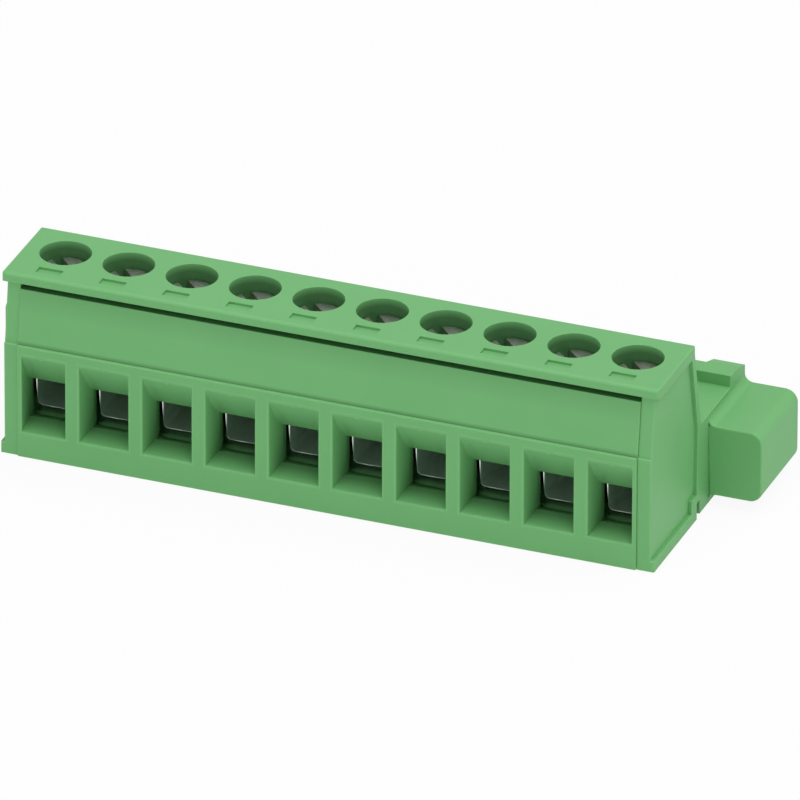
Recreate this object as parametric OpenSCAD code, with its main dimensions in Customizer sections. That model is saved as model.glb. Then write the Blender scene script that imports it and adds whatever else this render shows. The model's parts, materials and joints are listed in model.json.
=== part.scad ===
// Pluggable screw terminal block with a shrouded pin side and a threaded flange at each end.
// Wires enter the funnels in front, the clamp screws turn from above, and the mating header
// goes into the shroud at the back.
// X runs along the row, Y from the wire side to the mating side, and Z points up.
// The origin is the middle of the overall length and depth, on the surface the block stands on.

/* [Row] */
// Number of clamp positions
poles = 10; // [2:1:16]
// Distance from one position to the next
pitch = 5.08; // [4.9:0.02:7.62]
// Length of housing beyond the outer half pitch at each end
end_extra = 0.75; // [0.7:0.05:3]

/* [Housing] */
// Thickness of the roof plate
roof_t = 0.8; // [0.6:0.05:1.2]
// Front edge of the roof, behind the front face
roof_front_y = 0.68; // [0.3:0.02:1]
// Back edge of the roof
roof_back_y = 8.5; // [8:0.1:10]
// Depth of the foot on which the block stands
foot_depth = 9.2; // [8.2:0.1:9.4]
// Thickness of the housing floor
floor_t = 1.95; // [1.5:0.05:3]
// Back wall at the height of the mating part
rear_wall_y = 9.9; // [9.8:0.05:11]
// Solid plastic between a chamber and the screw head's seat
shoulder_t = 1.45; // [0.8:0.05:3]
// Thickness of an end plate
end_plate_t = 1.4; // [1.3:0.05:2]
// How far the end plates lie behind the cover's front face
end_setback = 0.15; // [0.05:0.05:0.5]
// Depth of the recess in the outer face of an end plate
recess_depth = 0.3; // [0.1:0.05:0.4]
// Height of the rim under that recess
recess_rim = 0.95; // [0.5:0.05:1.5]
// Width of the rim behind that recess
recess_back_rim = 0.6; // [0.4:0.05:1]
// Width of the rim above that recess, under the roof plate
recess_top_rim = 0.2; // [0.1:0.05:0.5]
// Side of the solid foot in the lower back corner of that recess
recess_foot = 1.1; // [0.5:0.1:1.5]
// Width of the groove across the underside, behind the foot
groove_w = 0.6; // [0.3:0.05:0.6]
// Height of that groove
groove_h = 1.35; // [0.5:0.05:1.6]

/* [Front cover] */
// Depth of the cover's funnel block
cover_depth = 2.3; // [2:0.05:2.6]
// Plastic left above a funnel, up to the foot of the panel
brow_h = 0.77; // [0.4:0.05:1.5]
// Thickness of the sloped panel
panel_t = 1; // [0.8:0.05:1.2]
// How far the panel's top edge leans back
panel_lean = 0.6; // [0.3:0.02:1]
// Step from the funnel block back to the panel
panel_step = 0.18; // [0.02:0.01:0.3]
// Open slot between the panel and the roof
panel_slot = 0.45; // [0.2:0.05:0.8]
// Length of the snap nose at each end of the cover
nose_len = 2; // [1:0.5:4]
// How far a snap nose stands out
nose_out = 0.3; // [0.15:0.05:0.4]

/* [Wire funnels] */
// Width of a funnel at the front face
funnel_w = 4; // [3.4:0.05:4.2]
// Width of the neck behind the funnel
neck_w = 3; // [2.4:0.05:3.1]
// Depth of the tapered stretch
funnel_depth = 1.8; // [1:0.05:2]
// How far the neck reaches below the top of the cage floor
neck_below = 0.25; // [0:0.05:0.5]
// How far the neck reaches above the underside of the current bar
neck_above = 0.55; // [0:0.05:0.8]
// Drop of the funnel's lower ramp
ramp_drop = 0.62; // [0.2:0.02:1.2]
// Length of that ramp, front to back
ramp_len = 1.65; // [0.8:0.05:1.75]
// Width of the pocket behind the ramp, below the neck
pocket_w = 3.3; // [2.4:0.05:3.5]
// Rise of the funnel's upper slope
slope_rise = 2.75; // [1:0.05:3]
// Plastic left outside the first and the last funnel
end_funnel_wall = 0.37; // [0.3:0.01:0.6]
// Width of the pointer nib in the funnel's upper edge
nib_w = 0.8; // [0.4:0.05:1.2]
// Height of the pointer nib
nib_h = 0.25; // [0.1:0.05:0.5]
// Depth of the pointer nib, front to back
nib_len = 0.45; // [0.2:0.05:0.8]

/* [Clamp screw] */
// Screw axis, behind the front face
screw_y = 5.2; // [5.1:0.05:5.6]
// Diameter of the screw head
head_d = 3.8; // [3:0.05:3.8]
// Height of the screw head
head_h = 2; // [1.2:0.05:3]
// Depth of the head's top below the roof
head_sink = 1.3; // [0.5:0.05:4]
// Diameter of the screw's thread
thread_d = 2.9; // [2:0.05:2.95]
// Width of the screwdriver slot
slot_w = 0.8; // [0.5:0.05:1.2]
// Depth of the screwdriver slot
slot_depth = 1; // [0.5:0.05:1.2]
// Direction of the screwdriver slots, from the row
slot_angle = -46; // [-180:1:180]
// Radial clearance of the head in its well
head_clear = 0.075; // [0.02:0.005:0.1]
// Radial clearance of the thread in its cage
thread_clear = 0.05; // [0.01:0.005:0.1]
// Radial clearance of the thread in the seat below the head
seat_clear = 0.15; // [0.1:0.05:0.3]

/* [Clamp cage] */
// Width of a cage
cage_w = 4.1; // [3.9:0.05:4.1]
// Depth of a cage along the wire
cage_depth = 4; // [3.6:0.1:4.4]
// Thickness of the cage's side walls
cage_wall = 0.55; // [0.3:0.05:0.55]
// Thickness of the cage's floor, which presses on the wire
cage_floor_t = 0.9; // [0.5:0.05:1.5]
// Thickness of the cage's top, which holds the thread
cage_top_t = 1.4; // [0.8:0.05:2.5]
// Outer corner radius of the folded cage
cage_r = 0.8; // [0.3:0.05:0.85]
// Inner corner radius of the folded cage
window_r = 0.35; // [0.1:0.05:0.35]
// Room for the wire between the open cage's floor and the current bar
wire_room = 2.35; // [1.5:0.05:3.5]
// Gap left under the bar when the empty clamp is closed
closed_gap = 0.15; // [0.05:0.05:0.5]

/* [Contact] */
// Width of the current bar
bar_w = 2.4; // [1.6:0.05:2.6]
// Thickness of the current bar
bar_t = 0.9; // [0.5:0.05:1.5]
// How far the bar's front end lies behind the cage's front
bar_back = 0.15; // [0.1:0.05:0.5]
// Front face of the bar's downward leg
leg_y = 8; // [7.6:0.05:8]
// Thickness of the leg
leg_t = 0.9; // [0.5:0.05:0.95]
// Side of the square contact pin
pin_w = 1; // [0.6:0.05:1]
// Side of the pin's blunt tip
pin_tip_w = 0.5; // [0.3:0.05:0.6]
// How far the pins end inside the shroud's mouth
pin_inset = 1; // [0.5:0.1:3]
// Length of the taper at the pin's tip
pin_taper = 0.8; // [0.3:0.1:1.5]

/* [Shroud] */
// Overall depth, from the front face to the shroud's mouth
depth = 19.3; // [17:0.1:24]
// Height of the shroud's underside above the standing surface
shroud_lift = 0.2; // [0.1:0.05:0.5]
// Thickness of the shroud's lower wall
lower_wall = 0.9; // [0.8:0.05:1.5]
// Thickness of the shroud's upper wall
upper_wall = 0.73; // [0.6:0.01:1.2]
// Thickness of the shroud's end walls
side_wall = 1.25; // [0.8:0.05:1.8]
// Clear height inside the shroud
cavity_h = 5.9; // [5:0.1:7]
// Where the shroud's inner floor lies, behind the front face
cavity_y = 11; // [10.6:0.1:12.5]
// Length of the thicker collar around the mouth
collar_len = 3.12; // [2:0.02:5]
// How far the collar stands above the shroud
collar_h = 0.94; // [0.4:0.02:1.5]
// Length of the lead-in slope on the collar
collar_slope = 1.65; // [0.5:0.05:1.8]
// Drop of that lead-in slope
collar_drop = 0.55; // [0.2:0.05:0.9]
// Width of the coding notch at each position
notch_w = 1.5; // [0.8:0.1:2]
// Lead-in chamfer around the mouth's inner edge
mouth_chamfer = 0.35; // [0.1:0.05:0.4]

/* [Flanges] */
// How far a flange stands out at each end
flange_reach = 4.25; // [4:0.05:6]
// Length of a flange along the mating direction
flange_len = 7.76; // [6:0.02:8.2]
// Thickness of a flange, bottom to top
flange_t = 5.8; // [5:0.1:6.5]
// Height of a flange's underside
flange_z = 0.98; // [0.6:0.02:1.2]
// Radius of a flange's outer corners
flange_r = 1; // [0.5:0.1:1.5]
// Radius of the fillet where a flange meets the shroud
flange_fillet = 0.7; // [0.3:0.1:0.9]
// Outer diameter of a flange insert
insert_d = 3.2; // [2.8:0.1:3.4]
// Length of a flange insert
insert_len = 5; // [3:0.5:5.5]
// Core diameter of the insert's thread
insert_bore = 2.05; // [1.6:0.05:2.2]
// Width of the two grooves around an insert
insert_groove = 0.6; // [0.3:0.1:0.8]

/* [Roof marks] */
// Width of the recess in front of each well
mark_w = 1.95; // [1:0.05:3]
// Length of that recess, front to back
mark_len = 0.85; // [0.4:0.05:1.1]
// Gap between the recess and its well
mark_gap = 0.83; // [0.3:0.01:1]
// Depth of that recess
mark_depth = 0.18; // [0.04:0.02:0.3]

/* [Hidden] */
$fn = 64;
part_gap = 0.02;            // between pieces that are fixed together
slide_gap = 0.1;            // between a cage and its chamber
rest_gap = 0.1;             // under an open cage
seat_gap = 0.05;            // under a screw head, and over the bar
top_gap = 0.2;              // over a raised cage, and between the bar and an open cage's top
cut = 0.01;                 // how far a cut runs past the face it starts from
edge = 0.15;                // small turned chamfers
nose_y = 1;                 // where a snap nose starts
nose_run = 0.9;             // how long its slope is
nib_root = 0.2;             // how far a nib's root reaches into the plastic above it
over = 0.5;                 // how far a cut reaches into open air

// Heights, from the floor up: cage, wire, bar, cage top, lift, shoulder, screw head, roof
cage_z = floor_t + rest_gap;
bar_z = cage_z + cage_floor_t + wire_room;
bar_top = bar_z + bar_t;
cage_window = wire_room + bar_t + top_gap;
cage_h = cage_floor_t + cage_window + cage_top_t;
lift = wire_room - closed_gap;
chamber_top = cage_z + cage_h + lift + top_gap;
seat_z = chamber_top + shoulder_t;
head_z = seat_z + seat_gap;
height = head_z + head_h + head_sink;
roof_z = height - roof_t;
neck_z0 = cage_z + cage_floor_t - neck_below;
neck_z1 = bar_z + neck_above;
funnel_z0 = neck_z0 - ramp_drop;
funnel_z1 = neck_z1 + slope_rise;
block_h = funnel_z1 + brow_h;
panel_top = roof_z - panel_slot;

// Lengths along the row
body_x = poles * pitch / 2 + end_extra;
cover_x = body_x - end_plate_t;
chamber_w = cage_w + 2 * slide_gap;
end_pole_x = (poles - 1) * pitch / 2;
end_reach = cover_x - end_pole_x - end_funnel_wall;
insert_x = (poles + 1) * pitch / 2;

// Depths
core_y = cover_depth + part_gap;
cage_y0 = screw_y - cage_depth / 2;
cage_y1 = screw_y + cage_depth / 2;
leg_back = leg_y + leg_t;
pin_end = depth - pin_inset;
shelf_z = shroud_lift + lower_wall + cavity_h + upper_wall;
cavity_z = shroud_lift + lower_wall;
pin_z = cavity_z + cavity_h / 2;
collar_y = depth - collar_len;
collar_z = shelf_z + collar_h;
insert_z = flange_z + flange_t / 2;
well_r = head_d / 2 + head_clear;
well_front = screw_y - well_r;
rear_slope = (rear_wall_y - roof_back_y) / (roof_z - shelf_z);

green = [0.43, 0.70, 0.44];
zinc = [0.72, 0.74, 0.72];
tin = [0.82, 0.81, 0.77];
brass = [0.80, 0.65, 0.35];

// Middle of position i along the row
function pole_x(i) = (i - (poles + 1) / 2) * pitch;

// Front face of the leaning panel at height z, for a plane that starts y0 behind the front
function lean_y(y0, z) = y0 + panel_lean * (z - block_h) / (panel_top - block_h);

// Outer face of the sloped back wall at height z
function rear_y(z) = rear_wall_y - rear_slope * (z - shelf_z);

// Moves a piece from front-face depths to the centred frame
module placed() {
    translate([0, -depth / 2, 0]) children();
}

// Extrudes an outline drawn in (Y, Z) from x0 to x1
module along_x(x0, x1) {
    translate([x0, 0, 0]) rotate([90, 0, 90]) linear_extrude(x1 - x0) children();
}

// Extrudes an outline drawn in (X, Z) from y0 to y1
module along_y(y0, y1) {
    translate([0, y1, 0]) rotate([90, 0, 0]) linear_extrude(y1 - y0) children();
}

// A box given by its two corners
module box(low, high) {
    translate(low) cube(high - low);
}

// A rectangle w by h with its lower left corner at the origin and round corners
module round_rect(w, h, r) {
    translate([r, 0]) square([w - 2 * r, h]);
    translate([0, r]) square([w, h - 2 * r]);
    for (x = [r, w - r], y = [r, h - r]) {
        translate([x, y]) circle(r);
    }
}

// Side view of the housing between its end plates: floor, roof, back wall and shroud
module core_outline() {
    panel_back = panel_step + panel_t + part_gap;
    polygon([
        [core_y, 0],
        [core_y, block_h + part_gap],
        [lean_y(panel_back, block_h + part_gap), block_h + part_gap],
        [lean_y(panel_back, roof_z), roof_z],
        [roof_front_y, roof_z],
        [roof_front_y, height],
        [roof_back_y, height],
        [roof_back_y, roof_z],
        [rear_wall_y, shelf_z],
        [collar_y, shelf_z],
        [collar_y, collar_z],
        [depth - collar_slope, collar_z],
        [depth, collar_z - collar_drop],
        [depth, shroud_lift],
        [foot_depth + groove_w, shroud_lift],
        [foot_depth + groove_w, groove_h],
        [foot_depth, groove_h],
        [foot_depth, 0]
    ]);
}

// Side view of the part of an end plate that stands beside the cover
module end_outline() {
    overlap_y = core_y + over;
    polygon([
        [end_setback, 0],
        [end_setback, block_h],
        [lean_y(end_setback + panel_step, block_h), block_h],
        [lean_y(end_setback + panel_step, roof_z), roof_z],
        [overlap_y, roof_z],
        [overlap_y, 0]
    ]);
}

// Side view of the shallow recess in an end plate's outer face
module recess_outline() {
    back = recess_back_rim;
    low_y = foot_depth + groove_w - 2 * back;
    recess_top = roof_z - recess_top_rim;
    polygon([
        [-over, recess_rim],
        [low_y - recess_foot + back, recess_rim],
        [low_y - recess_foot + back, recess_rim + recess_foot],
        [low_y + back, recess_rim + recess_foot],
        [rear_y(shelf_z) - back, shelf_z],
        [rear_y(recess_top) - back, recess_top],
        [-over, recess_top]
    ]);
}

// Side view of a chamber: the cage's room in front and the leg's room behind and below
module chamber_outline() {
    leg_room = leg_back + part_gap;
    cage_room = cage_y1 + slide_gap;
    polygon([
        [core_y - cut, floor_t],
        [leg_room, floor_t],
        [leg_room, bar_top + part_gap],
        [cage_room, bar_top + part_gap],
        [cage_room, chamber_top],
        [core_y - cut, chamber_top]
    ]);
}

// One flange in front view: a rounded block with a fillet above and below its root
module flange_outline() {
    root = side_wall / 2;
    translate([body_x - root - flange_r, flange_z]) {
        round_rect(flange_reach + root + flange_r, flange_t, flange_r);
    }
    for (up = [0, 1]) {
        translate([body_x, flange_z + up * flange_t]) mirror([0, 1 - up]) {
            difference() {
                translate([-root, -flange_r]) square([flange_fillet + root, flange_fillet + flange_r]);
                translate([flange_fillet, flange_fillet]) circle(flange_fillet);
                translate([flange_fillet, 0]) square([flange_fillet, flange_fillet]);
            }
        }
    }
}

// Everything that is cut away at one position
module pole_cuts() {
    along_x(-chamber_w / 2, chamber_w / 2) chamber_outline();
    translate([0, screw_y, seat_z]) cylinder(r = well_r, h = height - seat_z + over);
    translate([0, screw_y, chamber_top - cut]) {
        cylinder(r = thread_d / 2 + seat_clear, h = seat_z - chamber_top + 2 * cut);
    }
    hole = pin_w / 2 + part_gap;
    box([-hole, leg_back, pin_z - hole], [hole, cavity_y + cut, pin_z + hole]);
    box([-notch_w / 2, depth - collar_slope, shelf_z], [notch_w / 2, depth + over, collar_z + over]);
    mark_back = well_front - mark_gap;
    box([-mark_w / 2, mark_back - mark_len, height - mark_depth], [mark_w / 2, mark_back, height + over]);
}

// The hollow of the shroud, with its chamfered mouth
module cavity() {
    half = body_x - side_wall;
    c = mouth_chamfer;
    box([-half, cavity_y, cavity_z], [half, depth + over, cavity_z + cavity_h]);
    intersection() {
        along_x(-half - c, half + c) polygon([
            [depth - c, cavity_z],
            [depth, cavity_z - c],
            [depth + over, cavity_z - c],
            [depth + over, cavity_z + cavity_h + c],
            [depth, cavity_z + cavity_h + c],
            [depth - c, cavity_z + cavity_h]
        ]);
        translate([0, 0, cavity_z - c]) linear_extrude(cavity_h + 2 * c) polygon([
            [-half, depth - c],
            [half, depth - c],
            [half + c, depth],
            [half + c, depth + over],
            [-half - c, depth + over],
            [-half - c, depth]
        ]);
    }
}

// Pocket in an end plate for the cover's snap nose
module nose_pocket() {
    gap = 2 * part_gap;
    box(
        [cover_x - cut, nose_y - gap, neck_z0 - gap],
        [cover_x + nose_out + gap, nose_y + nose_run + gap, neck_z0 + nose_len + gap]
    );
}

// Main moulding
module housing_body() {
    color(green) placed() difference() {
        union() {
            along_x(-body_x, body_x) core_outline();
            for (side = [0, 1]) mirror([side, 0, 0]) {
                along_x(cover_x + part_gap, body_x) end_outline();
                along_y(depth - flange_len, depth) flange_outline();
            }
        }
        for (i = [1:poles]) translate([pole_x(i), 0, 0]) pole_cuts();
        cavity();
        for (side = [0, 1]) mirror([side, 0, 0]) {
            along_x(body_x - recess_depth, body_x + over) recess_outline();
            nose_pocket();
            translate([insert_x, depth + over, insert_z]) rotate([90, 0, 0]) {
                cylinder(d = insert_d + part_gap, h = insert_len + part_gap + over);
            }
        }
    }
}

// Tapered mouth, straight neck and low pocket of one wire entry
module funnel() {
    wide = funnel_w / 2;
    narrow = neck_w / 2;
    intersection() {
        along_x(-wide, wide) polygon([
            [0, funnel_z0],
            [ramp_len, neck_z0],
            [funnel_depth, neck_z0],
            [funnel_depth, neck_z1],
            [0, funnel_z1],
            [-over, funnel_z1],
            [-over, funnel_z0]
        ]);
        translate([0, 0, funnel_z0]) linear_extrude(funnel_z1 - funnel_z0) polygon([
            [-wide, -over],
            [wide, -over],
            [wide, 0],
            [narrow, funnel_depth],
            [-narrow, funnel_depth],
            [-wide, 0]
        ]);
    }
    box([-narrow, funnel_depth - cut, neck_z0], [narrow, cover_depth + over, neck_z1]);
    box([-pocket_w / 2, ramp_len, floor_t], [pocket_w / 2, cover_depth + over, neck_z0]);
}

// Small pointer in the middle of a funnel's upper edge
module nib() {
    along_y(0, nib_len) polygon([
        [-nib_w / 2, funnel_z1 + nib_root],
        [nib_w / 2, funnel_z1 + nib_root],
        [nib_w / 2, funnel_z1],
        [0, funnel_z1 - nib_h],
        [-nib_w / 2, funnel_z1]
    ]);
}

// Front moulding: funnel block and sloped panel, snapped in between the end plates
module front_cover() {
    color(green) placed() {
        difference() {
            along_x(-cover_x, cover_x) polygon([
                [0, 0],
                [0, block_h],
                [panel_step, block_h],
                [lean_y(panel_step, panel_top), panel_top],
                [lean_y(panel_step, panel_top) + panel_t, panel_top],
                [panel_step + panel_t, block_h],
                [cover_depth, block_h],
                [cover_depth, 0]
            ]);
            for (i = [1:poles]) translate([pole_x(i), 0, 0]) intersection() {
                funnel();
                low_x = i == 1 ? -end_reach : -pitch;
                high_x = i == poles ? end_reach : pitch;
                box([low_x, -over, 0], [high_x, cover_depth + over, height]);
            }
        }
        for (i = [1:poles]) translate([pole_x(i), 0, 0]) nib();
        for (side = [0, 1]) mirror([side, 0, 0]) {
            translate([0, 0, neck_z0]) linear_extrude(nose_len) polygon([
                [cover_x - cut, nose_y],
                [cover_x + nose_out, nose_y + nose_run],
                [cover_x - cut, nose_y + nose_run]
            ]);
        }
    }
}

// Slotted screw at position i: turned head and shank, then the slot
module clamp_screw(i) {
    tip_z = bar_top + seat_gap;
    r = thread_d / 2;
    head_r = head_d / 2;
    color(zinc) placed() translate([pole_x(i), screw_y, 0]) difference() {
        rotate_extrude() polygon([
            [0, tip_z],
            [r - 2 * edge, tip_z],
            [r, tip_z + 2 * edge],
            [r, head_z],
            [head_r, head_z],
            [head_r, head_z + head_h - edge],
            [head_r - edge, head_z + head_h],
            [0, head_z + head_h]
        ]);
        translate([0, 0, head_z + head_h]) rotate([0, 0, slot_angle]) {
            box([-head_d, -slot_w / 2, -slot_depth], [head_d, slot_w / 2, over]);
        }
    }
}

// Folded cage at position i: a tube along the wire, with the screw's thread through its top
module clamp_cage(i) {
    window_w = cage_w - 2 * cage_wall;
    color(zinc) placed() translate([pole_x(i), 0, cage_z]) difference() {
        along_y(cage_y0, cage_y1) difference() {
            translate([-cage_w / 2, 0]) round_rect(cage_w, cage_h, cage_r);
            translate([-window_w / 2, cage_floor_t]) round_rect(window_w, cage_window, window_r);
        }
        translate([0, screw_y, cage_h - cage_top_t - over]) {
            cylinder(r = thread_d / 2 + thread_clear, h = cage_top_t + 2 * over);
        }
    }
}

// Stamped contact at position i: bar in the cage, leg behind it and pin in the shroud
module contact(i) {
    bar_y = cage_y0 + bar_back;
    half = pin_w / 2;
    tip = pin_tip_w / 2;
    color(tin) placed() translate([pole_x(i), 0, 0]) intersection() {
        along_x(-bar_w / 2, bar_w / 2) polygon([
            [bar_y, bar_z],
            [leg_y, bar_z],
            [leg_y, pin_z - half],
            [pin_end - pin_taper, pin_z - half],
            [pin_end, pin_z - tip],
            [pin_end, pin_z + tip],
            [pin_end - pin_taper, pin_z + half],
            [leg_back, pin_z + half],
            [leg_back, bar_top],
            [bar_y, bar_top]
        ]);
        linear_extrude(height) polygon([
            [-bar_w / 2, bar_y],
            [bar_w / 2, bar_y],
            [bar_w / 2, leg_back],
            [half, leg_back],
            [half, pin_end - pin_taper],
            [tip, pin_end],
            [-tip, pin_end],
            [-half, pin_end - pin_taper],
            [-half, leg_back],
            [-bar_w / 2, leg_back]
        ]);
    }
}

// Threaded insert of a flange, on the side given by -1 or 1, open to the back
module flange_insert(side) {
    r = insert_d / 2;
    bore_r = insert_bore / 2;
    groove = insert_groove;
    color(brass) placed() translate([side * insert_x, depth, insert_z]) rotate([90, 0, 0]) {
        rotate_extrude() polygon([
            [bore_r + edge, 0],
            [r - edge, 0],
            [r, edge],
            [r, groove],
            [r - edge, groove],
            [r - edge, 2 * groove],
            [r, 2 * groove],
            [r, insert_len - 2 * groove],
            [r - edge, insert_len - 2 * groove],
            [r - edge, insert_len - groove],
            [r, insert_len - groove],
            [r, insert_len - edge],
            [r - edge, insert_len],
            [bore_r, insert_len],
            [bore_r, edge]
        ]);
    }
}

housing_body();
front_cover();
for (i = [1:poles]) {
    clamp_screw(i);
    clamp_cage(i);
    contact(i);
}
flange_insert(-1);  // flange_insert_left
flange_insert(1);  // flange_insert_right
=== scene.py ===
"""Looks of a pluggable screw terminal block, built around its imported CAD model.

Every CAD node is replaced by a finer copy of itself: edges get the small radii of a moulding or a
stamping, the front moulding is drawn anew with soft funnels, and the screws and inserts are turned
anew with real threads and slots.
Lengths are in millimetres while a piece is made, and it is scaled to metres at the end.
"""

import json
import math

import bmesh
import bpy
from mathutils import Matrix, Vector

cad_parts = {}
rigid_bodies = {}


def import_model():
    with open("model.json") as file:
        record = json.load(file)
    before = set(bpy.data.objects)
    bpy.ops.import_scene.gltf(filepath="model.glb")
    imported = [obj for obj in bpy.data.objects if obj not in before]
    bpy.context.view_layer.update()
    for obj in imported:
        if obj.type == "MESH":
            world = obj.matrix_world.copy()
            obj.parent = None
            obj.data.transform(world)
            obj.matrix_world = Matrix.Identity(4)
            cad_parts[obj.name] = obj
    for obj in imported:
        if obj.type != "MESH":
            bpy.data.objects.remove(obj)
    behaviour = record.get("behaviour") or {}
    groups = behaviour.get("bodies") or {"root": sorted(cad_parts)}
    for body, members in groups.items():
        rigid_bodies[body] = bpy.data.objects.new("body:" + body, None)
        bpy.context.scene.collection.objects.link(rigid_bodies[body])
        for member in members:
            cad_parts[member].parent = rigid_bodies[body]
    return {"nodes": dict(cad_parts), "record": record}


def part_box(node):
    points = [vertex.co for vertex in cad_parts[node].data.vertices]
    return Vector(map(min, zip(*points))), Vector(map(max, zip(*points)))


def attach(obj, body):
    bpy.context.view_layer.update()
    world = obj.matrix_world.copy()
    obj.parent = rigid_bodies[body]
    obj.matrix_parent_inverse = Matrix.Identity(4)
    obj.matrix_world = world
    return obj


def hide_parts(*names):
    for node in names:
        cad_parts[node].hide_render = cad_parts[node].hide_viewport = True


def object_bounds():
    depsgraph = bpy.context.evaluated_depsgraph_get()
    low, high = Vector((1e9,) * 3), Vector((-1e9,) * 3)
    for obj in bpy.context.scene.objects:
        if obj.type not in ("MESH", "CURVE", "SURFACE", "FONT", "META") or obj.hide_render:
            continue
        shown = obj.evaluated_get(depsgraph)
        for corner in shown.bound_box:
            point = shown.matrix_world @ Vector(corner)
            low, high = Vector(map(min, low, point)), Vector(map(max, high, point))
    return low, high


for leftover in list(bpy.data.objects):
    bpy.data.objects.remove(leftover)

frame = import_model()
CAD_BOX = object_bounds()
MM = 0.001
POLES = sum(name.startswith("clamp_screw") for name in frame["nodes"])


def box_mm(node):
    """Lowest and highest corner of a CAD node in millimetres."""
    low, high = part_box(node)
    return low / MM, high / MM


def middle_of(node):
    """Middle of a CAD node's box in millimetres."""
    low, high = box_mm(node)
    return (low + high) / 2


BLOCK_LOW, BLOCK_HIGH = (corner / MM for corner in CAD_BOX)
COVER_HIGH = box_mm("front_cover")[1]

# ---------------------------------------------------------------- camera
VIEW_AZIMUTH = math.radians(21.156)
VIEW_ELEVATION = math.radians(27.801)
VIEW_ROLL = math.radians(0.159)
VIEW_DISTANCE = 1.62789
VIEW_TARGET = Vector((0.002103, 0.00035, 0.005032))
LENS = 979.9
SENSOR = 36
CLIP_NEAR = 0.05
CLIP_FAR = 20


def make_camera():
    """A long lens from the front right and above."""
    forward = Vector((
        -math.sin(VIEW_AZIMUTH) * math.cos(VIEW_ELEVATION),
        math.cos(VIEW_AZIMUTH) * math.cos(VIEW_ELEVATION),
        -math.sin(VIEW_ELEVATION),
    ))
    right = Vector((math.cos(VIEW_AZIMUTH), math.sin(VIEW_AZIMUTH), 0))
    up = right.cross(forward)
    image_right = right * math.cos(VIEW_ROLL) + up * math.sin(VIEW_ROLL)
    image_up = up * math.cos(VIEW_ROLL) - right * math.sin(VIEW_ROLL)
    data = bpy.data.cameras.new("camera")
    data.lens = LENS
    data.sensor_width = SENSOR
    data.clip_start = CLIP_NEAR
    data.clip_end = CLIP_FAR
    camera = bpy.data.objects.new("camera", data)
    turn = Matrix((image_right, image_up, -forward)).transposed().to_4x4()
    camera.matrix_world = Matrix.Translation(VIEW_TARGET - forward * VIEW_DISTANCE) @ turn
    bpy.context.scene.collection.objects.link(camera)
    bpy.context.scene.camera = camera


# ---------------------------------------------------------------- materials
# Base colours are linear. Noise scales are in features per metre, and bump distances in metres.
GREEN_DEEP = (0.145, 0.420, 0.148)
GREEN_PALE = (0.153, 0.434, 0.156)
# Painted highlight: the faces of rounded edges are painted this paler green.
GREEN_PAINTED_HIGHLIGHT = (0.170, 0.462, 0.172)
# Painted shade: hollows, the slot under the roof and the panel's foot are painted towards this dark
# green.
GREEN_PAINTED_SHADE = (0.060, 0.190, 0.061)
GREEN_MOTTLE = 160
GREEN_GRAIN = 16000
GREEN_ROUGH = (0.46, 0.58)
GREEN_IOR = 1.5
GREEN_SPECULAR = 0.35
GREEN_BUMP = 0.000008
ZINC_DARK = (0.66, 0.70, 0.67)
ZINC_LIGHT = (0.72, 0.76, 0.73)
# Painted reflection: the cage's inside is tinted with the green of the moulding around it.
ZINC_PAINTED_GREEN_REFLECTION = (0.62, 0.80, 0.67)
ZINC_MARKS = 3000
ZINC_STRETCH = (1, 0.2, 1)
ZINC_ROUGH = (0.17, 0.23)
ZINC_ROUGH_INSIDE = (0.60, 0.68)
METAL_BUMP = 0.000005
ROUGH_SPREAD = 0.05
EDGE = "edge"
HOLLOW = "hollow"


def new_material(name):
    """An empty node material with its principled shader and tree."""
    material = bpy.data.materials.new(name)
    material.use_nodes = True
    tree = material.node_tree
    return material, tree, tree.nodes["Principled BSDF"]


def object_noise(tree, scale, detail=4.0, stretch=(1, 1, 1)):
    """Noise on the object's own coordinates, with scale in features per metre."""
    place = tree.nodes.new("ShaderNodeTexCoord")
    mapping = tree.nodes.new("ShaderNodeMapping")
    mapping.inputs["Scale"].default_value = stretch
    noise = tree.nodes.new("ShaderNodeTexNoise")
    noise.inputs["Scale"].default_value = scale
    noise.inputs["Detail"].default_value = detail
    tree.links.new(place.outputs["Object"], mapping.inputs["Vector"])
    tree.links.new(mapping.outputs["Vector"], noise.inputs["Vector"])
    return noise.outputs["Fac"]


def map_range(tree, value, low, high, source_low=0.3, source_high=0.7):
    """Spreads a noise value over low to high."""
    node = tree.nodes.new("ShaderNodeMapRange")
    node.inputs["From Min"].default_value = source_low
    node.inputs["From Max"].default_value = source_high
    node.inputs["To Min"].default_value = low
    node.inputs["To Max"].default_value = high
    tree.links.new(value, node.inputs["Value"])
    return node.outputs["Result"]


def mix_colours(tree, factor, first, second):
    """A colour between two, by a factor."""
    node = tree.nodes.new("ShaderNodeMix")
    node.data_type = "RGBA"
    for name, colour in (("A", first), ("B", second)):
        if isinstance(colour, tuple):
            node.inputs[name].default_value = (*colour, 1)
        else:
            tree.links.new(colour, node.inputs[name])
    tree.links.new(factor, node.inputs["Factor"])
    return node.outputs["Result"]


def add_bump(tree, height, shader, strength, distance):
    """A bump on the shader's normal, with its distance in metres."""
    bump = tree.nodes.new("ShaderNodeBump")
    bump.inputs["Strength"].default_value = strength
    bump.inputs["Distance"].default_value = distance
    tree.links.new(height, bump.inputs["Height"])
    tree.links.new(bump.outputs["Normal"], shader.inputs["Normal"])


def surface_value(tree, name):
    """A value stored on the mesh, held between 0 and 1."""
    stored = tree.nodes.new("ShaderNodeAttribute")
    stored.attribute_name = name
    return map_range(tree, stored.outputs["Fac"], 0, 1, 0, 1)


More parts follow.
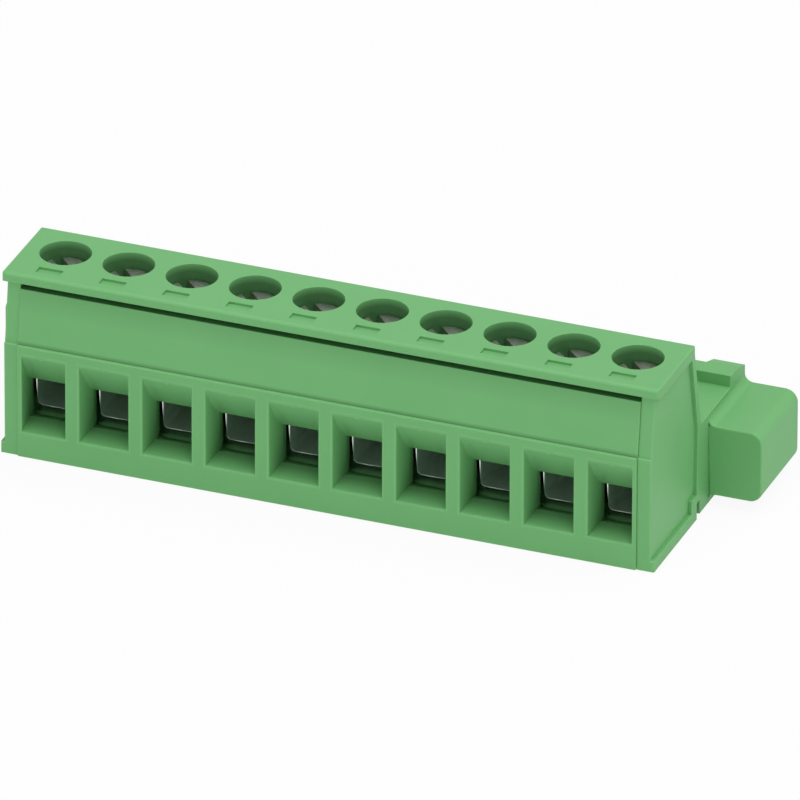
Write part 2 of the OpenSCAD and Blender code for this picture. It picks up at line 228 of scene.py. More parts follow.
def green_plastic():
    """Satin moulded polyamide: fine grain and faint mottling, with rounded edges painted paler as a
    highlight and hollows painted darker as shade.
    """
    material, tree, shader = new_material("green_plastic")
    mottle = map_range(tree, object_noise(tree, GREEN_MOTTLE, detail=3), 0, 1)
    colour = mix_colours(tree, mottle, GREEN_DEEP, GREEN_PALE)
    # The faces of rounded edges are painted paler, as a highlight.
    highlighted = mix_colours(tree, surface_value(tree, EDGE), colour, GREEN_PAINTED_HIGHLIGHT)
    # Hollows, the slot under the roof and the panel's foot are painted darker, as shade.
    shaded = mix_colours(tree, surface_value(tree, HOLLOW), highlighted, GREEN_PAINTED_SHADE)
    tree.links.new(shaded, shader.inputs["Base Color"])
    grain = object_noise(tree, GREEN_GRAIN, detail=3)
    tree.links.new(map_range(tree, grain, *GREEN_ROUGH), shader.inputs["Roughness"])
    shader.inputs["IOR"].default_value = GREEN_IOR
    shader.inputs["Specular IOR Level"].default_value = GREEN_SPECULAR
    add_bump(tree, grain, shader, strength=0.15, distance=GREEN_BUMP)
    return material


def plated_metal(name, dark, light, rough, stretch, scale, strength):
    """Plated metal with fine tool marks, drawn out by stretch."""
    material, tree, shader = new_material(name)
    shader.inputs["Metallic"].default_value = 1
    marks = object_noise(tree, scale, 5, stretch)
    colour = mix_colours(tree, map_range(tree, marks, 0, 1), dark, light)
    roughness = map_range(tree, marks, rough - ROUGH_SPREAD, rough + ROUGH_SPREAD)
    tree.links.new(colour, shader.inputs["Base Color"])
    tree.links.new(roughness, shader.inputs["Roughness"])
    add_bump(tree, marks, shader, strength, METAL_BUMP)
    return material


def folded_zinc():
    """Plated sheet steel: smooth and bright outside, matt inside the folded cage, where it is also
    tinted green as a painted reflection of the moulding.
    """
    material, tree, shader = new_material("zinc_sheet")
    shader.inputs["Metallic"].default_value = 1
    marks = object_noise(tree, ZINC_MARKS, stretch=ZINC_STRETCH)
    outside = mix_colours(tree, map_range(tree, marks, 0, 1), ZINC_DARK, ZINC_LIGHT)
    # Inside the cage the colour is tinted green, as a painted reflection of the moulding.
    colour = mix_colours(tree, surface_value(tree, HOLLOW), outside, ZINC_PAINTED_GREEN_REFLECTION)
    tree.links.new(colour, shader.inputs["Base Color"])
    rough = tree.nodes.new("ShaderNodeMix")
    tree.links.new(surface_value(tree, HOLLOW), rough.inputs["Factor"])
    tree.links.new(map_range(tree, marks, *ZINC_ROUGH), rough.inputs["A"])
    tree.links.new(map_range(tree, marks, *ZINC_ROUGH_INSIDE), rough.inputs["B"])
    tree.links.new(rough.outputs["Result"], shader.inputs["Roughness"])
    add_bump(tree, marks, shader, strength=0.03, distance=METAL_BUMP)
    return material


def make_materials():
    """The finish of each slot."""
    green = green_plastic()
    return {
        "housing": green,
        "cover": green,
        "screw": plated_metal(
            "zinc_screw", dark=(0.49, 0.48, 0.46), light=(0.57, 0.56, 0.54), rough=0.40,
            stretch=(1, 1, 1), scale=5000, strength=0.10),
        "cage": folded_zinc(),
        "contact": plated_metal(
            "matt_tin", dark=(0.58, 0.57, 0.53), light=(0.68, 0.67, 0.63), rough=0.38,
            stretch=(1, 0.1, 1), scale=4000, strength=0.12),
        "insert": plated_metal(
            "turned_brass", dark=(0.62, 0.43, 0.16), light=(0.74, 0.54, 0.23), rough=0.26,
            stretch=(1, 6, 1), scale=4000, strength=0.15),
    }


MATERIALS = make_materials()


# ---------------------------------------------------------------- mesh tools
FLAT = math.radians(0.3)          # faces that meet at less are one flat face
SHARP = math.radians(20)          # edges sharper than this are rounded
CREASE = math.radians(38)         # shading is smooth over gentler edges than this
WELD = 0.0005
TOUCH = 0.02
ROUNDED = 1                       # material slot that marks a rounded edge's faces
ROUND_STEPS = 4                   # bands of a turned or lofted quarter round


def cad_mesh(node):
    """A CAD node's mesh in millimetres, with its flat faces joined up."""
    mesh = bmesh.new()
    mesh.from_mesh(frame["nodes"][node].data)
    bmesh.ops.transform(mesh, matrix=Matrix.Scale(1 / MM, 4), verts=mesh.verts)
    bmesh.ops.remove_doubles(mesh, verts=mesh.verts, dist=WELD)
    bmesh.ops.dissolve_limit(mesh, angle_limit=FLAT, verts=mesh.verts, edges=mesh.edges)
    return mesh


def set_radii(mesh, radius_at):
    """Sets each sharp convex edge's bevel weight to radius_at(middle, direction), in mm."""
    layer = mesh.edges.layers.float.new("bevel_weight_edge")
    for edge in mesh.edges:
        if len(edge.link_faces) == 2 and edge.calc_face_angle_signed() > SHARP:
            first, second = (v.co for v in edge.verts)
            edge[layer] = radius_at((first + second) / 2, (second - first).normalized())


def new_object(name, mesh):
    """A scene object from a bmesh, which is freed."""
    data = bpy.data.meshes.new(name)
    mesh.to_mesh(data)
    mesh.free()
    piece = bpy.data.objects.new(name, data)
    bpy.context.scene.collection.objects.link(piece)
    return piece


def apply_modifiers(piece):
    """Replaces the mesh with what its modifiers make of it."""
    graph = bpy.context.evaluated_depsgraph_get()
    solid = bpy.data.meshes.new_from_object(piece.evaluated_get(graph))
    piece.modifiers.clear()
    piece.data = solid


def round_edges(piece, segments):
    """Bevels each weighted edge by the radius in its weight, and marks the new faces."""
    while len(piece.data.materials) <= ROUNDED:
        piece.data.materials.append(None)
    bevel = piece.modifiers.new("edges", "BEVEL")
    bevel.material = ROUNDED
    bevel.limit_method = "WEIGHT"
    bevel.width = 1
    bevel.segments = segments
    bevel.use_clamp_overlap = False
    bevel.miter_outer = "MITER_ARC"
    apply_modifiers(piece)


def combine(piece, tool, operation):
    """Cuts the tool from the piece, or joins it on, and deletes the tool."""
    boolean = piece.modifiers.new("combine", "BOOLEAN")
    boolean.object = tool
    boolean.operation = operation
    boolean.solver = "EXACT"
    apply_modifiers(piece)
    bpy.data.objects.remove(tool)


def shade(piece, hollow_at=lambda point: 0):
    """Smooth over gentle edges, split at creases, with flat faces kept flat.

    It stores which faces are rounded edges, and how deep in a hollow each point lies. The green
    plastic uses these for a painted highlight on rounded edges and painted shade in hollows."""
    mesh = bmesh.new()
    mesh.from_mesh(piece.data)
    bmesh.ops.remove_doubles(mesh, verts=mesh.verts, dist=WELD)
    edge_layer = mesh.faces.layers.float.new(EDGE)
    hollow_layer = mesh.verts.layers.float.new(HOLLOW)
    for face in mesh.faces:
        face.smooth = True
        face[edge_layer] = float(face.material_index == ROUNDED)
        face.material_index = 0
    for vertex in mesh.verts:
        vertex[hollow_layer] = hollow_at(vertex.co)
    for edge in mesh.edges:
        edge.smooth = len(edge.link_faces) == 2 and edge.calc_face_angle() < CREASE
    mesh.to_mesh(piece.data)
    mesh.free()
    weighted = piece.modifiers.new("normals", "WEIGHTED_NORMAL")
    weighted.keep_sharp = True
    apply_modifiers(piece)


def finish_piece(piece, node, shift=0.0):
    """Shifts the piece along the row, scales it to metres, gives it the material of its CAD node's
    slot, puts it in that node's body and hides the CAD node.
    """
    piece.data.transform(Matrix.Translation((shift, 0, 0)))
    piece.data.transform(Matrix.Scale(MM, 4))
    record = frame["record"]
    slot = next(part["material_slot"] for part in record["subparts"] if part["node"] == node)
    body = next(name for name, nodes in record["behaviour"]["bodies"].items() if node in nodes)
    piece.data.materials.clear()
    piece.data.materials.append(MATERIALS[slot])
    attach(piece, body)
    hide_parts(node)


def finish_row(piece, kind):
    """Puts a copy of the piece, made for the first position, at every position of the row."""
    start = middle_of(f"{kind}_1").x
    for number in range(1, POLES + 1):
        node = f"{kind}_{number}"
        copy = bpy.data.objects.new(f"{node}_finish", piece.data.copy())
        bpy.context.scene.collection.objects.link(copy)
        finish_piece(copy, node, middle_of(node).x - start)
    bpy.data.objects.remove(piece)


def add_loft(mesh, rows, closed=False, rounded=()):
    """Skins rows of points, each a closed ring, and caps the ends unless the rows are closed.

    The faces that follow the rows numbered in rounded are marked as rounded edges."""
    rings = [[mesh.verts.new(point) for point in row] for row in rows]
    pairs = list(zip(rings, rings[1:]))
    if closed:
        pairs.append((rings[-1], rings[0]))
    for number, (first, second) in enumerate(pairs):
        for k in range(len(first)):
            following = (k + 1) % len(first)
            face = mesh.faces.new((first[k], first[following], second[following], second[k]))
            face.material_index = ROUNDED if number in rounded else 0
    if not closed:
        mesh.faces.new(rings[0])
        mesh.faces.new(rings[-1])
    bmesh.ops.recalc_face_normals(mesh, faces=mesh.faces)


def add_box(mesh, low, high):
    """A box between two corners."""
    add_loft(mesh, [
        [(low[0], low[1], z), (high[0], low[1], z), (high[0], high[1], z), (low[0], high[1], z)]
        for z in (low[2], high[2])
    ])


# ---------------------------------------------------------------- main moulding
PITCH = middle_of("clamp_screw_2").x - middle_of("clamp_screw_1").x
SCREW_Y = middle_of("clamp_screw_1").y
FRONT = BLOCK_LOW.y
TOP = BLOCK_HIGH.z
BACK = BLOCK_HIGH.y
ROOF_T = 0.8
ROOF_Z = TOP - ROOF_T
NOSE_OUT = 0.3
COVER_X = COVER_HIGH.x - NOSE_OUT
END_PLATE = 1.4
BODY_X = COVER_X + END_PLATE
ROOF_FRONT = FRONT + 0.68
ROOF_BACK = FRONT + 8.5
CAVITY_FLOOR = FRONT + 11
FLANGE_FRONT = BACK - 7.76
END_RECESS = 0.3
WELL_REACH = 2.05
# Painted shade: the depth over which a screw's well darkens.
WELL_SHADE_DEPTH = 0.65
END_FRONT = 1.5                   # depth of the end plates' front edges
ROOF_FRONT_R = 0.22
ROOF_SIDE_R = 0.12
WELL_R = 0.05
ROOF_FACE_R = 0.1
ROOF_UNDER_R = 0.06
FLANGE_R = 0.14
SHROUD_R = 0.1
END_FRONT_R = 0.13
END_INNER_R = 0.06
OTHER_R = 0.05


def from_screw(point):
    """Distance to the nearest screw axis."""
    middle = (POLES - 1) / 2
    nearest = min(max(round(point.x / PITCH + middle), 0), POLES - 1) - middle
    return math.hypot(point.x - nearest * PITCH, point.y - SCREW_Y)


def roof_radius(point):
    """Edge radius on the roof's upper face: soft outline, crisp wells and marks."""
    if abs(point.y - ROOF_FRONT) < TOUCH:
        return ROOF_FRONT_R
    if abs(point.y - ROOF_BACK) < TOUCH or abs(abs(point.x) - BODY_X) < TOUCH:
        return ROOF_SIDE_R
    return WELL_R if from_screw(point) < WELL_REACH else 0


def housing_radius(point, _direction):
    """Edge radius of the main moulding: soft outside, sharp where it can't be seen."""
    across = abs(point.x)
    if point.z > TOP - TOUCH:
        return roof_radius(point)
    if across < COVER_X and point.y < CAVITY_FLOOR + TOUCH and TOUCH < point.z < ROOF_Z - TOUCH:
        return 0
    if point.z > ROOF_Z + TOUCH:
        return ROOF_FACE_R
    if point.z > ROOF_Z - TOUCH:
        return ROOF_UNDER_R if abs(point.y - ROOF_FRONT) < TOUCH else 0
    if across > BODY_X + TOUCH:
        return FLANGE_R if point.y < FLANGE_FRONT + TOUCH else SHROUD_R
    if abs(across - COVER_X) < 2 * TOUCH:
        return 0
    if point.y < FRONT + END_FRONT:
        outside = across > BODY_X - END_RECESS - TOUCH or point.z > TOUCH
        return END_FRONT_R if outside else END_INNER_R
    return OTHER_R


def housing_hollow(point):
    """How dark a point in a screw's well is painted, as shade: darker the deeper it lies."""
    inside = point.z < TOP - TOUCH and from_screw(point) < WELL_REACH
    return (TOP - point.z) / WELL_SHADE_DEPTH if inside else 0


def make_housing():
    """The main moulding: the CAD solid with its visible edges rounded."""
    mesh = cad_mesh("housing_body")
    set_radii(mesh, housing_radius)
    piece = new_object("housing", mesh)
    round_edges(piece, 3)
    shade(piece, housing_hollow)
    finish_piece(piece, "housing_body")


# ---------------------------------------------------------------- front moulding
BLOCK_DEPTH = 2.3
BLOCK_TOP = 9.37
PANEL_STEP = 0.18
PANEL_T = 1.0
PANEL_LEAN = 0.6
PANEL_TOP = COVER_HIGH.z
MOUTH_HALF = 2.0
NECK_HALF = 1.5
END_REACH = COVER_X - (POLES - 1) / 2 * PITCH - 0.37
FUNNEL_DEPTH = 1.8
RAMP_LENGTH = 1.65
POCKET_HALF = 1.65
POCKET_LOW = 1.95
# Painted shade: depths over which the funnels darken, and heights over which the painted shadow
# fades at the panel's foot and under the roof.
FUNNEL_SHADE_DEPTH = 3.7
RAMP_SHADE_DEPTH = 1.4
FOOT_SHADE_BAND = 0.35
BROW_SHADE_BAND = 1.8
MOUTH_LOW = 2.08
MOUTH_HIGH = 8.6
NECK_LOW = 2.7
NECK_HIGH = 5.85
MOUTH_ROUND = 0.14
CORNER_ROUND = 0.55
CORNER_LEAST = 0.02
CORNER_SWELL = 0.8                # below 1, the corners are round for most of the depth
CORNER_STEPS = 6
RAMP_STEPS = 9
NECK_STEPS = 2
CUT_OVER = 0.5                    # how far a cut reaches into open air
CUT_LAP = 0.01                    # how far one cut runs into the next
MOUTH_LAP = 0.002                 # how far before the face the mouth's round starts
NIB_HALF = 0.4
NIB_ROOT = 0.2
NIB_DROP = 0.25
NIB_INSET = 0.02
NIB_LENGTH = 0.45
NOSE_ROOT = 0.1
NOSE_START = 1.0
NOSE_RUN = 0.9
NOSE_LENGTH = 2.0
PANEL_R = 0.04
COVER_END_R = 0.1
BLOCK_TOP_R = 0.14
BLOCK_R = 0.07
LIP_HEIGHT = 0.1
LIP_SHADE = 0.28
FOOT_SHADE = 0.8


def funnel_section(depth, spread, left_limit, right_limit):
    """A ring of the funnel's hollow: upright walls, a flat bottom, rounded upper corners."""
    share = min(max(depth / FUNNEL_DEPTH, 0), 1)
    half = MOUTH_HALF + (NECK_HALF - MOUTH_HALF) * share
    ramp_share = min(max(depth / RAMP_LENGTH, 0), 1)
    low = MOUTH_LOW + (NECK_LOW - MOUTH_LOW) * ramp_share - spread
    high = MOUTH_HIGH + (NECK_HIGH - MOUTH_HIGH) * share + spread
    left = -min(half, left_limit) - spread
    right = min(half, right_limit) + spread
    radius = CORNER_LEAST
    if 0 < share < 1:
        radius = CORNER_LEAST + CORNER_ROUND * math.sin(math.pi * share) ** CORNER_SWELL
    turns = [k / CORNER_STEPS * math.pi / 2 for k in range(CORNER_STEPS + 1)]
    ring = [(left, low)]
    for turn in turns:
        ring.append((left + radius * (1 - math.cos(turn)), high - radius * (1 - math.sin(turn))))
    for turn in turns:
        ring.append((right - radius * (1 - math.sin(turn)), high - radius * (1 - math.cos(turn))))
    ring.append((right, low))
    return ring


def funnel_rows(left_limit, right_limit):
    """Rings from outside the mouth to behind the neck, as (depth, ring)."""
    rows = [(-CUT_OVER, MOUTH_ROUND)]
    for k in range(ROUND_STEPS + 1):
        inward = math.sin(k / ROUND_STEPS * math.pi / 2)
        spread = MOUTH_ROUND * (1 - math.sin(math.acos(1 - inward)))
        rows.append((MOUTH_ROUND * inward - MOUTH_LAP, spread))
    stretches = ((MOUTH_ROUND, RAMP_LENGTH, RAMP_STEPS), (RAMP_LENGTH, FUNNEL_DEPTH, NECK_STEPS))
    for start, end, steps in stretches:
        for k in range(1, steps + 1):
            rows.append((start + (end - start) * k / steps, 0))
    rows.append((BLOCK_DEPTH + CUT_OVER, 0))
    return [(depth, funnel_section(depth, spread, left_limit, right_limit))
            for depth, spread in rows]


def side_limits(number, half):
    """How far a hollow may reach to the left and right: less beside an end plate."""
    left = END_REACH if number == 1 else half
    right = END_REACH if number == POLES else half
    return left, right


def add_funnel(mesh, number):
    """The hollow of one wire entry."""
    middle = middle_of(f"clamp_screw_{number}").x
    rows = funnel_rows(*side_limits(number, MOUTH_HALF))
    rings = [[(middle + x, FRONT + depth, z) for x, z in ring] for depth, ring in rows]
    add_loft(mesh, rings, rounded=range(1, ROUND_STEPS + 1))


def add_pocket(mesh, number):
    """The pocket behind one funnel's ramp, below the neck."""
    middle = middle_of(f"clamp_screw_{number}").x
    left, right = side_limits(number, POCKET_HALF)
    low = (middle - left, FRONT + RAMP_LENGTH, POCKET_LOW)
    high = (middle + right, FRONT + BLOCK_DEPTH + CUT_OVER, NECK_LOW + CUT_LAP)
    add_box(mesh, low, high)


def add_nib(mesh, number):
    """The small pointer in the middle of one funnel's upper edge."""
    middle = middle_of(f"clamp_screw_{number}").x
    outline = [
        (-NIB_HALF, MOUTH_HIGH + NIB_ROOT), (NIB_HALF, MOUTH_HIGH + NIB_ROOT),
        (NIB_HALF, MOUTH_HIGH), (0, MOUTH_HIGH - NIB_DROP), (-NIB_HALF, MOUTH_HIGH),
    ]
    add_loft(mesh, [[(middle + x, FRONT + depth, z) for x, z in outline]
                    for depth in (NIB_INSET, NIB_LENGTH)])


def add_nose(mesh, side):
    """The snap nose at one end, which sits in the end plate's pocket."""
    root = COVER_X - NOSE_ROOT
    end = NOSE_START + NOSE_RUN
    outline = [(root, NOSE_START), (COVER_X, NOSE_START), (COVER_X + NOSE_OUT, end), (root, end)]
    add_loft(mesh, [[(side * x, FRONT + depth, z) for x, depth in outline]
                    for z in (NECK_LOW, NECK_LOW + NOSE_LENGTH)])


def cover_radius(point, direction):
    """Edge radius of the front moulding: largest along the block's top, least at the panel's."""
    if point.z > PANEL_TOP - TOUCH or point.y > FRONT + PANEL_STEP + PANEL_T - TOUCH:
        return PANEL_R
    along_row = abs(direction.x) >= 0.5
    if not along_row:
        return COVER_END_R
    return BLOCK_TOP_R if abs(point.z - BLOCK_TOP) < TOUCH else BLOCK_R


def cover_hollow(point):
    """How dark a point is painted, as shade: darker the deeper it lies in a funnel.

    The panel's top, in the slot under the roof, and the panel's foot are painted dark too, as
    shadow."""
    if point.z > PANEL_TOP - TOUCH:
        return 1
    if point.z > PANEL_TOP - LIP_HEIGHT:
        return LIP_SHADE
    if abs(point.z - BLOCK_TOP) < TOUCH and point.y > FRONT + PANEL_STEP - TOUCH:
        return FOOT_SHADE
    if point.z > MOUTH_HIGH + TOUCH:
        return 0
    return (point.y - FRONT) / (FUNNEL_SHADE_DEPTH if point.z > NECK_LOW + TOUCH else RAMP_SHADE_DEPTH)


def row_mesh(add_one):
    """A bmesh of what add_one adds at every position of the row."""
    mesh = bmesh.new()
    for number in range(1, POLES + 1):
        add_one(mesh, number)
    return mesh


def make_cover():
    """The funnel block and sloped panel, drawn out along the row, with its funnels cut."""
    lean = PANEL_STEP + PANEL_LEAN
    slope = PANEL_LEAN / (PANEL_TOP - BLOCK_TOP)
    outline = [
        (0, 0), (0, BLOCK_TOP), (PANEL_STEP, BLOCK_TOP),
        # The next two rows carry the painted shadow, which fades out above the panel's foot and
        # below the roof.
        (PANEL_STEP + slope * FOOT_SHADE_BAND, BLOCK_TOP + FOOT_SHADE_BAND),
        (lean - slope * BROW_SHADE_BAND, PANEL_TOP - BROW_SHADE_BAND),
        (lean, PANEL_TOP), (lean + PANEL_T, PANEL_TOP),
        (PANEL_STEP + PANEL_T, BLOCK_TOP), (BLOCK_DEPTH, BLOCK_TOP), (BLOCK_DEPTH, 0),
    ]
    mesh = bmesh.new()
    add_loft(mesh, [[(x, FRONT + depth, z) for depth, z in outline] for x in (-COVER_X, COVER_X)])
    set_radii(mesh, cover_radius)
    piece = new_object("cover", mesh)
    round_edges(piece, 3)
    combine(piece, new_object("funnels", row_mesh(add_funnel)), "DIFFERENCE")
    combine(piece, new_object("pockets", row_mesh(add_pocket)), "DIFFERENCE")
    extras = row_mesh(add_nib)
    for side in (-1, 1):
        add_nose(extras, side)
    combine(piece, new_object("extras", extras), "UNION")
    shade(piece, cover_hollow)
    finish_piece(piece, "front_cover")


# ---------------------------------------------------------------- threads and turned parts
TURN_STEPS = 40
SCREW_PITCH = 0.5
INSERT_PITCH = 0.45
ROWS_PER_TURN = 6
FLANK_GAIN = 1.3                  # above 1, a thread has flats at its crest and root
CREST_FLAT = 0.15
RUN_OUT = 6                       # a thread fades over one part in six at each end


def thread_share(along, angle, pitch):
    """0 at a thread's crest and 1 at its root, for a right-hand thread."""
    place = (along / pitch - angle / (2 * math.pi)) % 1
    return min(max(abs(2 * place - 1) * FLANK_GAIN - CREST_FLAT, 0), 1)


def turned_rows(profile, centre, axis):
    """Rings around an axis for a profile of (along, radius) pairs.

    A radius is a number, or a function of the angle."""
    rows = []
    for along, radius in profile:
        ring = []
        for k in range(TURN_STEPS):
            angle = 2 * math.pi * k / TURN_STEPS
            reach = radius(angle) if callable(radius) else radius
            first, second = reach * math.cos(angle), reach * math.sin(angle)
            if axis == "Z":
                ring.append(centre + Vector((first, second, along)))
            else:
                ring.append(centre + Vector((first, along, -second)))
        rows.append(ring)
    return rows


def thread_profile(start, end, radius, depth, pitch):
    """Rows of a thread from start to end, which runs out gently at both ends.

    A positive depth cuts into a screw's radius, and a negative one into a bore's."""
    steps = max(2, round(abs(end - start) / pitch * ROWS_PER_TURN))
    profile = []
    for k in range(steps + 1):
        along = start + (end - start) * k / steps
        fade = min(1, RUN_OUT * k / steps, RUN_OUT * (steps - k) / steps)

        def reach(angle, along=along, fade=fade):
            """Radius of this row at an angle."""
            share = thread_share(along, angle, pitch)
            return radius - depth * fade * (1 - share if depth < 0 else share)

        profile.append((along, reach))
    return profile


SCREW_R = 1.45
HEAD_R = 1.9
HEAD_H = 2.0
HEAD_ROUND = 0.15
HEAD_CHAMFER = 0.06
SCREW_TIP = 0.3
THREAD_END = 0.4                  # plain shank between the thread and the head
THREAD_DEPTH = 0.28
SLOT_HALF = 0.4
SLOT_DEPTH = 1.0
SLOT_ANGLE = math.radians(-46)


def make_screws():
    """One slotted screw with its M3 thread, copied along the row."""
    low, high = box_mm("clamp_screw_1")
    centre = Vector((*middle_of("clamp_screw_1").xy, 0))
    head = high.z - HEAD_H
    profile = [(low.z, SCREW_R - SCREW_TIP)]
    profile += thread_profile(
        low.z + SCREW_TIP, head - THREAD_END, SCREW_R, THREAD_DEPTH, SCREW_PITCH)
    profile += [
        (head, SCREW_R), (head, HEAD_R - HEAD_CHAMFER), (head + HEAD_CHAMFER, HEAD_R),
        (high.z - HEAD_ROUND, HEAD_R),
    ]
    for k in range(1, ROUND_STEPS + 1):
        turn = k / ROUND_STEPS * math.pi / 2
        at = high.z - HEAD_ROUND * (1 - math.sin(turn))
        profile.append((at, HEAD_R - HEAD_ROUND * (1 - math.cos(turn))))
    mesh = bmesh.new()
    add_loft(mesh, turned_rows(profile, centre, "Z"))
    piece = new_object("screw", mesh)
    slot = bmesh.new()
    corner = Vector((2 * HEAD_R, SLOT_HALF, SLOT_DEPTH))
    add_box(slot, -corner, corner)
    place = Matrix.Translation((centre.x, centre.y, high.z)) @ Matrix.Rotation(SLOT_ANGLE, 4, "Z")
    bmesh.ops.transform(slot, matrix=place, verts=slot.verts)
    combine(piece, new_object("slot", slot), "DIFFERENCE")
    shade(piece)
    finish_row(piece, "clamp_screw")


INSERT_EDGE = 0.15
INSERT_GROOVE = 0.6
INSERT_CORE = 1.025
INSERT_LEAD = 0.1                 # plain bore before the insert's thread
INSERT_THREAD = -0.2              # negative, because it is cut outwards from the bore


def make_insert(node):
    """One flange insert: grooved outside, with its M2.5 thread inside."""
    low, high = box_mm(node)
    centre = Vector((middle_of(node).x, 0, middle_of(node).z))
    radius = (high.x - low.x) / 2
    inner = radius - INSERT_EDGE
    groove = INSERT_GROOVE
    profile = [(high.y, INSERT_CORE + INSERT_EDGE), (high.y, inner), (high.y - INSERT_EDGE, radius)]
    for at, reach in ((high.y - groove, radius), (high.y - groove, inner),
                      (high.y - 2 * groove, inner), (high.y - 2 * groove, radius),
                      (low.y + 2 * groove, radius), (low.y + 2 * groove, inner),
                      (low.y + groove, inner), (low.y + groove, radius),
                      (low.y + INSERT_EDGE, radius), (low.y, inner), (low.y, INSERT_CORE)):
        profile.append((at, reach))
    profile += thread_profile(
        low.y + INSERT_LEAD, high.y - INSERT_EDGE, INSERT_CORE, INSERT_THREAD, INSERT_PITCH)
    mesh = bmesh.new()
    add_loft(mesh, turned_rows(profile, centre, "Y"), closed=True)
    piece = new_object(f"{node}_finish", mesh)
    shade(piece)
    finish_piece(piece, node)


# ---------------------------------------------------------------- pressed parts
CAGE_FLOOR_T = 0.9
CAGE_WALL = 0.55
CAGE_TOP = 0.3
CAGE_R = 0.06
WINDOW_SIDE_R = 0.2
WINDOW_LEVEL_R = 0.05
WINDOW_CORNER_R = 0.02
STRAIGHT = 0.98                   # share of an edge's direction that makes it upright or level
SKIN = 0.01
CONTACT_R = 0.06


def make_cages():
    """One folded cage, with the sheet's round edges around its window, copied along the row."""
    low, high = box_mm("clamp_cage_1")
    floor_top = low.z + CAGE_FLOOR_T

    def in_window(point):
        """Whether a point lies on the window's edge or inside it."""
        beside = low.x + CAGE_WALL - TOUCH < point.x < high.x - CAGE_WALL + TOUCH
        return beside and floor_top - TOUCH < point.z < high.z - CAGE_TOP

    def inset(point):
        """How far a point lies behind the cage's front or before its back."""
        return min(point.y - low.y, high.y - point.y)

    def cage_radius(point, direction):
        """The window's upright edges, beside the wire, are rounder than its level ones."""
        if not in_window(point) or inset(point) > TOUCH:
            return CAGE_R
        if abs(direction.z) > STRAIGHT:
            return WINDOW_SIDE_R
        return WINDOW_LEVEL_R if abs(direction.x) > STRAIGHT else WINDOW_CORNER_R

    def cage_hollow(point):
        """1 inside the cage and 0 outside."""
        return float(in_window(point) and inset(point) > SKIN)

    mesh = cad_mesh("clamp_cage_1")
    set_radii(mesh, cage_radius)
    piece = new_object("cage", mesh)
    round_edges(piece, 4)
    shade(piece, cage_hollow)
    finish_row(piece, "clamp_cage")


def make_contacts():
    """One stamped contact with slightly rounded edges, copied along the row."""
    mesh = cad_mesh("contact_1")
    set_radii(mesh, lambda _point, _direction: CONTACT_R)
    piece = new_object("contact", mesh)
    round_edges(piece, 3)
    shade(piece)
    finish_row(piece, "contact")


# ---------------------------------------------------------------- studio
# Places and sizes are in metres, and powers in watts.
FLOOR_HALF = 1.5
FLOOR_GREY = (0.82, 0.82, 0.82, 1)
FLOOR_ROUGH = 0.9
FLOOR_SPECULAR = 0.1
FLOOR_WHITE = 0.92                # share of plain white in what the camera sees of the floor
WHITE = (1, 1, 1, 1)
WORLD_HORIZON = 0.95
WORLD_UPPER = 0.40
WORLD_LOW = 0.2                   # heights of direction over which the world dims
WORLD_HIGH = 0.5


def make_floor():
    """A pale floor that keeps a faint shadow and shows white to the camera."""
    corners = [(x * FLOOR_HALF, y * FLOOR_HALF, 0)
               for x, y in ((-1, -1), (1, -1), (1, 1), (-1, 1))]
    data = bpy.data.meshes.new("floor")
    data.from_pydata(corners, [], [(0, 1, 2, 3)])
    floor = bpy.data.objects.new("floor", data)
    bpy.context.scene.collection.objects.link(floor)
    material, tree, shader = new_material("pale_floor")
    shader.inputs["Base Color"].default_value = FLOOR_GREY
    shader.inputs["Roughness"].default_value = FLOOR_ROUGH
    shader.inputs["Specular IOR Level"].default_value = FLOOR_SPECULAR
    white = tree.nodes.new("ShaderNodeEmission")
    white.inputs["Strength"].default_value = 1
    mix = tree.nodes.new("ShaderNodeMixShader")
    share = tree.nodes.new("ShaderNodeMath")
    share.operation = "MULTIPLY"
    share.inputs[1].default_value = FLOOR_WHITE
    tree.links.new(seen_directly(tree), share.inputs[0])
    tree.links.new(share.outputs[0], mix.inputs["Fac"])
    tree.links.new(shader.outputs["BSDF"], mix.inputs[1])
    tree.links.new(white.outputs["Emission"], mix.inputs[2])
    tree.links.new(mix.outputs["Shader"], tree.nodes["Material Output"].inputs["Surface"])
    data.materials.append(material)


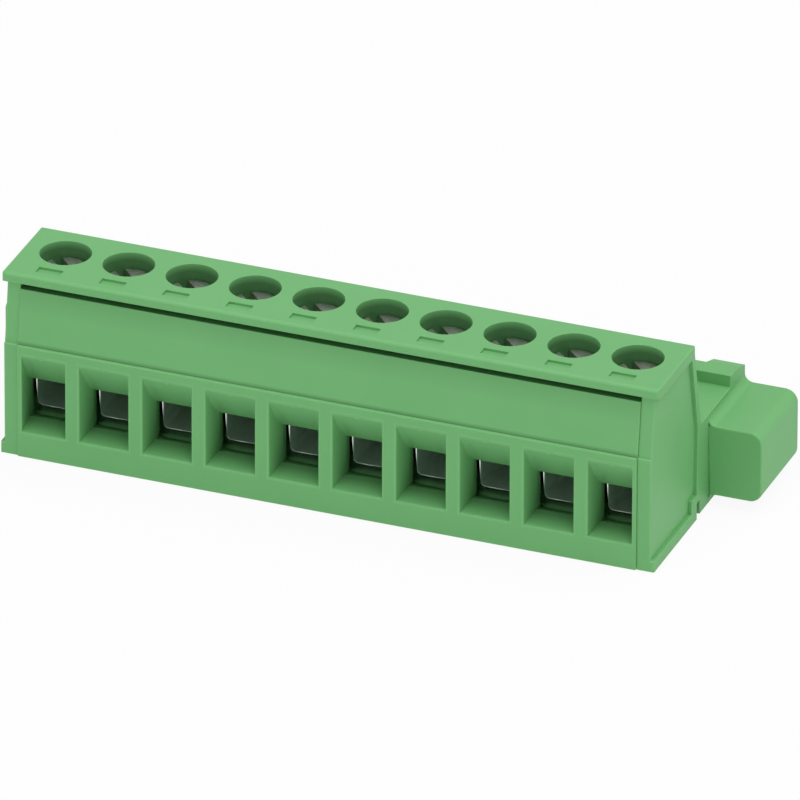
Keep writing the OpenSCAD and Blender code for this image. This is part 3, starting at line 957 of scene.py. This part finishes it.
def seen_directly(tree):
    """1 for rays from the camera and for mirror and glass rays."""
    path = tree.nodes.new("ShaderNodeLightPath")
    total = path.outputs["Is Camera Ray"]
    for ray in ("Is Glossy Ray", "Is Transmission Ray"):
        larger = tree.nodes.new("ShaderNodeMath")
        larger.operation = "MAXIMUM"
        tree.links.new(total, larger.inputs[0])
        tree.links.new(path.outputs[ray], larger.inputs[1])
        total = larger.outputs[0]
    return total


def make_world():
    """White where it is seen. As a light it is bright around the horizon and dim above it."""
    world = bpy.data.worlds.new("studio")
    world.use_nodes = True
    bpy.context.scene.world = world
    tree = world.node_tree
    light = tree.nodes["Background"]
    light.inputs["Color"].default_value = WHITE
    place = tree.nodes.new("ShaderNodeTexCoord")
    parts = tree.nodes.new("ShaderNodeSeparateXYZ")
    tree.links.new(place.outputs["Generated"], parts.inputs["Vector"])
    strength = map_range(
        tree, parts.outputs["Z"], WORLD_HORIZON, WORLD_UPPER, WORLD_LOW, WORLD_HIGH)
    tree.links.new(strength, light.inputs["Strength"])
    white = tree.nodes.new("ShaderNodeBackground")
    white.inputs["Strength"].default_value = 1
    mix = tree.nodes.new("ShaderNodeMixShader")
    tree.links.new(seen_directly(tree), mix.inputs["Fac"])
    tree.links.new(light.outputs["Background"], mix.inputs[1])
    tree.links.new(white.outputs["Background"], mix.inputs[2])
    tree.links.new(mix.outputs["Shader"], tree.nodes["World Output"].inputs["Surface"])


def add_lamp(name, place, size, power):
    """A square soft box that looks at the middle of the block."""
    data = bpy.data.lights.new(name, "AREA")
    data.size = size
    data.energy = power
    lamp = bpy.data.objects.new(name, data)
    lamp.location = place
    aim = Vector((0, 0, BLOCK_HIGH.z * MM / 2)) - lamp.location
    lamp.rotation_euler = aim.to_track_quat("-Z", "Y").to_euler()
    bpy.context.scene.collection.objects.link(lamp)


def make_studio():
    """A white studio: an overhead soft box and a weaker, low one in front on the left."""
    make_floor()
    make_world()
    add_lamp("overhead", place=(0.25, -0.05, 0.87), size=0.9, power=6.2)
    add_lamp("front", place=(-0.55, -0.75, 0.22), size=0.6, power=1.2)
    bpy.context.scene.view_settings.view_transform = "Standard"


make_camera()
make_studio()
make_housing()
make_cover()
make_screws()
make_cages()
make_contacts()
make_insert("flange_insert_left")
make_insert("flange_insert_right")
